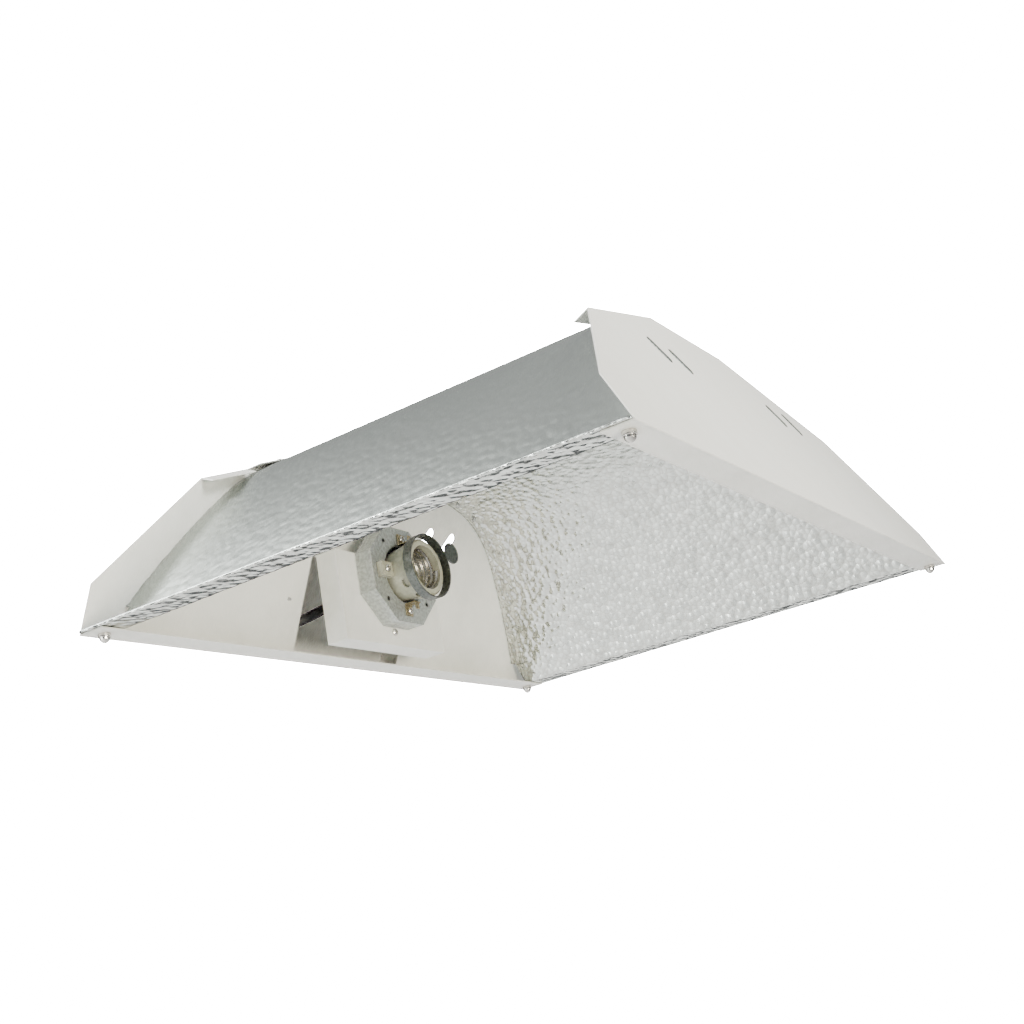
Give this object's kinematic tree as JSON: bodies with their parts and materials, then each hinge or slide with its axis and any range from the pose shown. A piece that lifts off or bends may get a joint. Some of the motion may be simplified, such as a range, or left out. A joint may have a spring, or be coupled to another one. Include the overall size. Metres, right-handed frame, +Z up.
{
  "type": "grow lamp reflector hood",
  "caption": "Open reflector hood for a horizontal grow lamp: hammered sheets, leaning white end plates, mogul lampholder and mains cord.",
  "frame": {"origin": "midway between the hanger slots of the two end plates, at the height of the slots' centres", "axes": "+X along the lamp away from the lampholder, +Y across the hood, +Z up; the opening faces -Z"},
  "size_m": [0.5699, 0.7064, 0.2212],
  "materials": {
    "white_coat": "white powder coat, satin, slightly mottled",
    "hammered": "bright hammered aluminium sheet, pebbled",
    "galvanised": "dull galvanised steel",
    "zinc": "bright zinc plate",
    "nickel": "nickel plate",
    "dark_steel": "dark oxidised steel band",
    "brass": "plain brass",
    "porcelain": "glazed beige-green porcelain",
    "black_rubber": "black cord jacket and moulded rubber",
    "black_wire": "black wire insulation",
    "white_wire": "white wire insulation"
  },
  "bodies": {
    "hood": {"right_end_plate": "white_coat", "left_end_plate": "white_coat", "wiring_cover": "white_coat", "socket_bracket": "white_coat", "far_reflector_sheet": "hammered", "near_reflector_sheet": "hammered", "crown_seam_strip": "galvanised", "octagon_box": "galvanised", "cover_screw_near": "zinc", "cover_screw_far": "zinc", "seam_rivet_near_1": "zinc", "seam_rivet_near_2": "zinc", "seam_rivet_far_1": "zinc", "seam_rivet_far_2": "zinc", "tab_rivet_right_near_high": "zinc", "tab_rivet_right_near_low": "zinc", "tab_rivet_right_far_high": "zinc", "tab_rivet_right_far_low": "zinc", "tab_rivet_left_near_high": "zinc", "tab_rivet_left_near_low": "zinc", "tab_rivet_left_far_high": "zinc", "tab_rivet_left_far_low": "zinc", "corner_screw_right_near": "zinc", "corner_screw_right_far": "zinc", "corner_screw_left_near": "zinc", "corner_screw_left_far": "zinc", "bracket_rivet_near": "zinc", "bracket_rivet_far": "zinc", "box_screw_near": "zinc", "box_screw_far": "zinc", "contact_spring": "zinc", "dome_nut_right_near": "nickel", "dome_nut_right_far": "nickel", "dome_nut_left_near": "nickel", "dome_nut_left_far": "nickel", "earth_screw": "nickel", "screw_shell": "nickel", "live_terminal_screw": "nickel", "neutral_terminal_screw": "nickel", "holder_screw_1": "nickel", "holder_screw_2": "nickel", "mouth_ring": "dark_steel", "contact_seat": "brass", "live_terminal": "brass", "neutral_terminal": "brass", "plug_pin_live": "brass", "plug_pin_neutral": "brass", "plug_pin_earth": "brass", "porcelain_body": "porcelain", "cord_gland": "black_rubber", "gland_nut": "black_rubber", "cover_cord": "black_rubber", "mains_cord": "black_rubber", "cord_coil": "black_rubber", "plug_tail": "black_rubber", "plug_body": "black_rubber", "live_lead": "black_wire", "coil_tie": "black_wire", "neutral_lead": "white_wire"},
    "contact": {"centre_contact": "brass"}
  },
  "joints": [
    {"name": "contact_plunge", "type": "slide", "parent": "hood", "child": "contact", "axis": [-1, 0, 0], "range_m": [0, 0.003], "stiffness_N_per_m": 2000, "springref_m": -0.002, "deforming": ["contact_spring"]}
  ]
}
